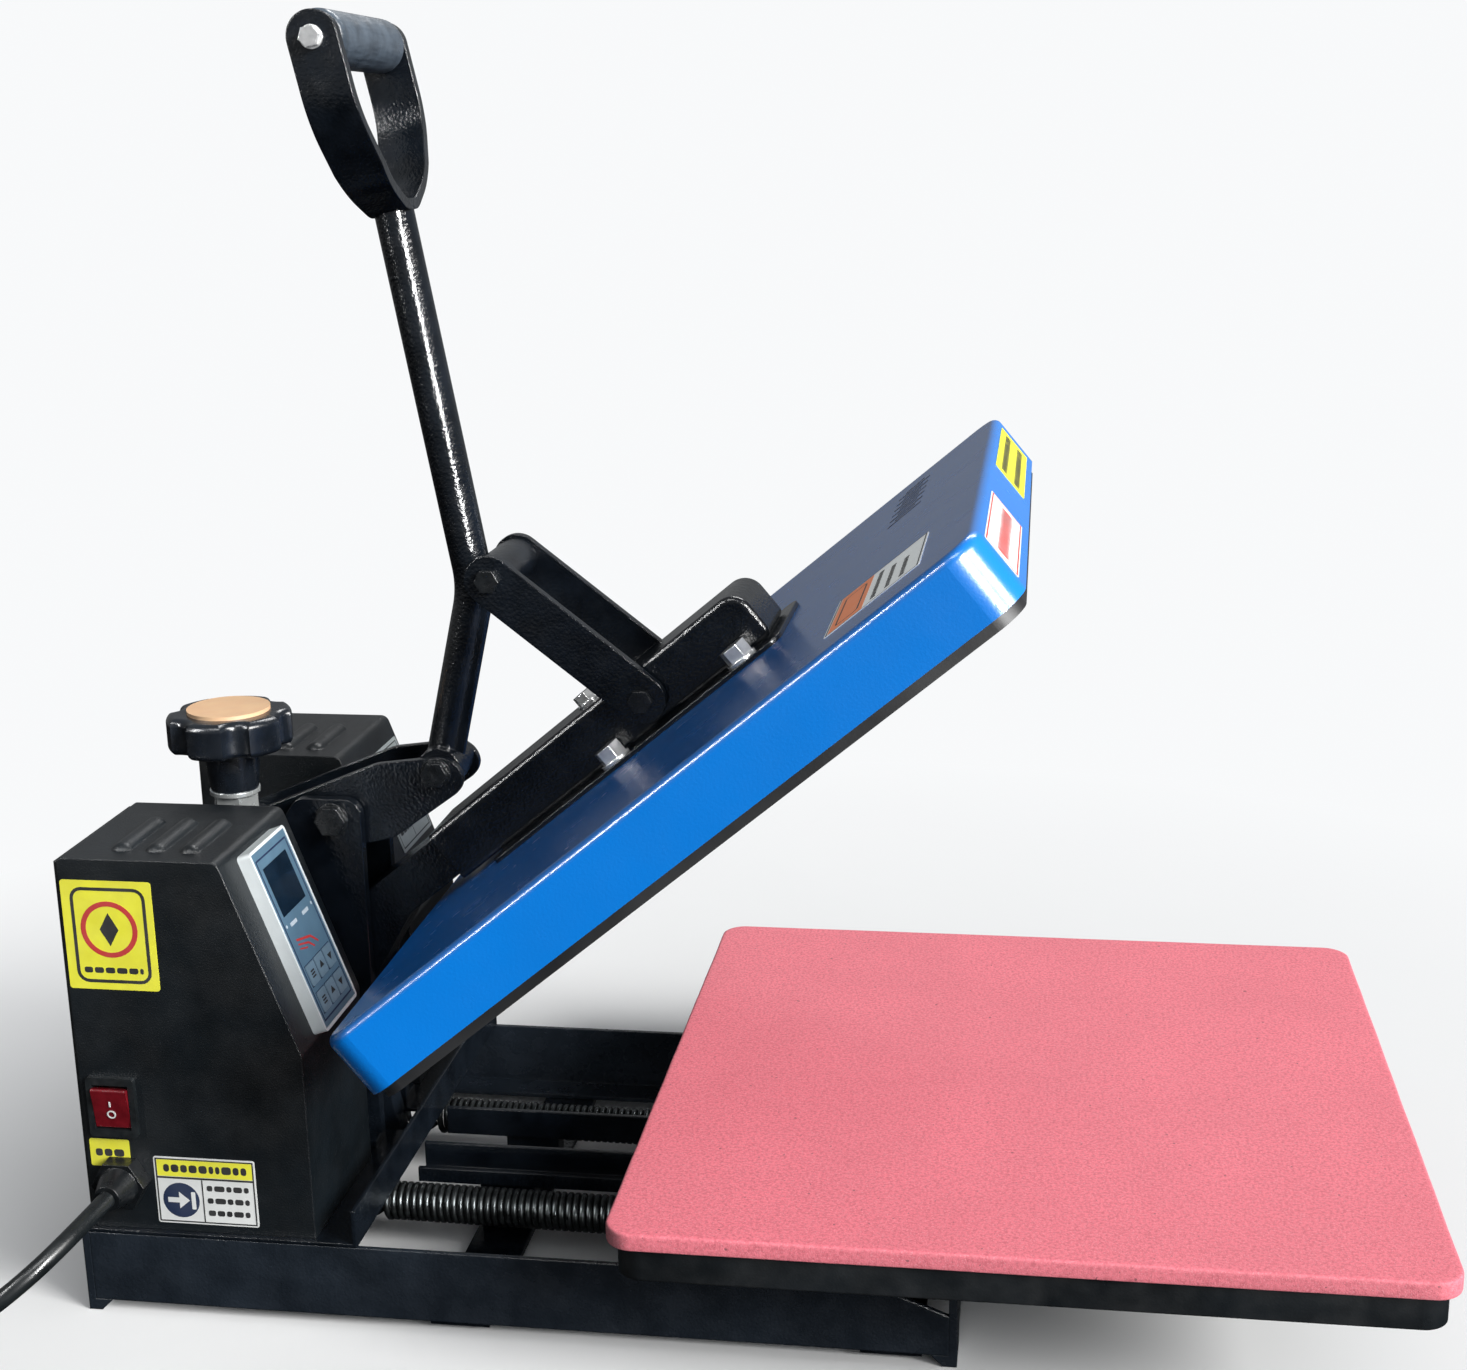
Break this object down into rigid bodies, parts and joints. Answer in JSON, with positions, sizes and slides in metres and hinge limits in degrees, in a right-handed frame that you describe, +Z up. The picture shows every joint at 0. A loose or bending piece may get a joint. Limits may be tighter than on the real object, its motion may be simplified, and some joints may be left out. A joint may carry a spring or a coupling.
{
  "type": "clamshell heat press",
  "caption": "Bench heat press: a lever closes a tilting heated platen through a toggle linkage on to a silicone pad carried by a slide-out drawer; sprung opening, pressure screw, timer panel.",
  "frame": {"origin": "on the bench, at the middle of the press's footprint with the drawer out", "axes": "+X towards the user, +Y to the right of someone standing behind it and facing the user's side, +Z up"},
  "size_m": [0.8555, 0.4085, 0.6363],
  "materials": {
    "frame_black": "hammertone black enamel",
    "box_black": "fine textured black enamel",
    "tray_black": "satin black enamel",
    "cover_blue": "glossy blue enamel with fine texture",
    "pad_salmon": "matte silicone foam",
    "plate_aluminium": "non-stick coated",
    "insulation_grey": "ceramic wool board",
    "bolt_chrome": "polished plating",
    "screw_zinc": "zinc plated",
    "spring_dark": "oiled black spring steel",
    "bolt_black": "black enamel",
    "knob_black": "moulded, glossy",
    "cap_orange": "moulded, satin",
    "grip_grey": "smooth rubber",
    "bezel_white": "moulded",
    "overlay_grey": "printed film",
    "display_dark": "tinted window",
    "key_grey": "printed key",
    "board_green": "lacquered",
    "switch_black": "moulded",
    "rocker_red": "translucent, glossy",
    "gland_black": "nylon",
    "cord_black": "satin",
    "plug_black": "moulded",
    "relay_black": "moulded"
  },
  "bodies": {
    "base": {"rear_end_plate": "frame_black", "front_end_plate": "frame_black", "side_rail_near": "frame_black", "side_rail_far": "frame_black", "deck_plate": "frame_black", "guide_rails": "frame_black", "guide_brackets": "frame_black", "spring_anchor_bar": "screw_zinc", "tower_plate_near": "frame_black", "tower_plate_far": "frame_black", "main_hinge_pin": "bolt_black", "arm_pivot_bolt": "bolt_black", "trunnion": "frame_black", "near_box_shell": "box_black", "far_box_shell": "box_black", "box_floors": "box_black", "rear_covers": "box_black", "controller_bezel": "bezel_white", "controller_overlay": "overlay_grey", "display_window": "display_dark", "controller_board": "board_green", "switch_housing": "switch_black", "solid_state_relay": "relay_black", "cable_gland": "gland_black", "mains_cord": "cord_black", "cord_coil": "cord_black", "mains_plug": "plug_black"},
    "upper_platen": {"hinge_arm": "frame_black", "beam": "frame_black", "platen_bolts": "bolt_chrome", "upper_cover": "cover_blue", "insulation_board": "insulation_grey", "heating_plate": "plate_aluminium", "link_lower_bolts": "bolt_black"},
    "pressure_arm": {"pressure_arm": "frame_black", "lever_pivot_bolt": "bolt_black"},
    "pressure_knob": {"pressure_screw": "screw_zinc", "pressure_nut": "screw_zinc", "knob": "knob_black", "knob_cap": "cap_orange"},
    "handle_lever": {"lever_tube": "frame_black", "cross_tube": "frame_black", "handle_fork": "frame_black", "grip": "grip_grey", "grip_bolt": "bolt_chrome"},
    "links": {"link_near": "frame_black", "link_far": "frame_black", "link_upper_bolts": "bolt_black"},
    "drawer": {"slide_frame": "frame_black", "lower_tray": "tray_black", "silicone_pad": "pad_salmon"},
    "spring_fixed_end": {"spring_fixed_halves": "spring_dark"},
    "spring_moving_end": {"spring_moving_halves": "spring_dark"},
    "switch_rocker": {"switch_rocker": "rocker_red"},
    "key_temp_set": {"key_temp_set": "key_grey"},
    "key_temp_up": {"key_temp_up": "key_grey"},
    "key_temp_down": {"key_temp_down": "key_grey"},
    "key_time_set": {"key_time_set": "key_grey"},
    "key_time_up": {"key_time_up": "key_grey"},
    "key_time_down": {"key_time_down": "key_grey"}
  },
  "joints": [
    {"name": "platen_hinge", "type": "hinge", "parent": "base", "child": "upper_platen", "pos_m": [-0.231, 0, 0.131], "axis": [0, 1, 0], "range_deg": [0, 39.3], "stiffness_Nm_per_rad": 12, "springref_deg": -148.97},
    {"name": "pressure_arm_pivot", "type": "hinge", "parent": "base", "child": "pressure_arm", "pos_m": [-0.2235, 0, 0.2305], "axis": [0, 1, 0], "range_deg": [0, 2.4]},
    {"name": "knob_turn", "type": "hinge", "parent": "pressure_arm", "child": "pressure_knob", "pos_m": [-0.2867, 0, 0.226], "axis": [0, 0, 1], "range_deg": [0, 545]},
    {"name": "lever_swing", "type": "hinge", "parent": "pressure_arm", "child": "handle_lever", "pos_m": [-0.1675, 0, 0.2555], "axis": [0, 1, 0], "range_deg": [0, 96.9]},
    {"name": "link_swing", "type": "hinge", "parent": "upper_platen", "child": "links", "pos_m": [-0.05421, 0, 0.30103], "axis": [0, 1, 0], "range_deg": [-43, 0]},
    {"name": "drawer_slide", "type": "slide", "parent": "base", "child": "drawer", "axis": [-1, 0, 0], "range_m": [0, 0.112]},
    {"name": "spring_swing", "type": "hinge", "parent": "base", "child": "spring_fixed_end", "pos_m": [-0.019, 0, 0.022], "axis": [0, 1, 0], "range_deg": [0, 1.25]},
    {"name": "spring_stretch", "type": "slide", "parent": "spring_fixed_end", "child": "spring_moving_end", "axis": [-0.9999, 0, 0.0105], "range_m": [0, 0.0735]},
    {"name": "mains_switch", "type": "hinge", "parent": "base", "child": "switch_rocker", "pos_m": [-0.308, -0.132, 0.1135], "axis": [-1, 0, 0], "range_deg": [0, 18]},
    {"name": "press_temp_set", "type": "slide", "parent": "base", "child": "key_temp_set", "axis": [-0.941, 0, -0.3385], "range_m": [0, 0.0005], "stiffness_N_per_m": 250, "springref_m": -0.0006},
    {"name": "press_temp_up", "type": "slide", "parent": "base", "child": "key_temp_up", "axis": [-0.941, 0, -0.3385], "range_m": [0, 0.0005], "stiffness_N_per_m": 250, "springref_m": -0.0006},
    {"name": "press_temp_down", "type": "slide", "parent": "base", "child": "key_temp_down", "axis": [-0.941, 0, -0.3385], "range_m": [0, 0.0005], "stiffness_N_per_m": 250, "springref_m": -0.0006},
    {"name": "press_time_set", "type": "slide", "parent": "base", "child": "key_time_set", "axis": [-0.941, 0, -0.3385], "range_m": [0, 0.0005], "stiffness_N_per_m": 250, "springref_m": -0.0006},
    {"name": "press_time_up", "type": "slide", "parent": "base", "child": "key_time_up", "axis": [-0.941, 0, -0.3385], "range_m": [0, 0.0005], "stiffness_N_per_m": 250, "springref_m": -0.0006},
    {"name": "press_time_down", "type": "slide", "parent": "base", "child": "key_time_down", "axis": [-0.941, 0, -0.3385], "range_m": [0, 0.0005], "stiffness_N_per_m": 250, "springref_m": -0.0006}
  ],
  "couplings": [
    {"joint": "lever_swing", "follows": "platen_hinge", "ratio": 2.4633},
    {"joint": "link_swing", "follows": "platen_hinge", "ratio": -1.091},
    {"joint": "spring_swing", "follows": "platen_hinge", "ratio": 0.030534},
    {"joint": "spring_stretch", "follows": "platen_hinge", "m_per_rad": 0.10646},
    {"joint": "knob_turn", "follows": "pressure_arm_pivot", "ratio": 226.9}
  ]
}
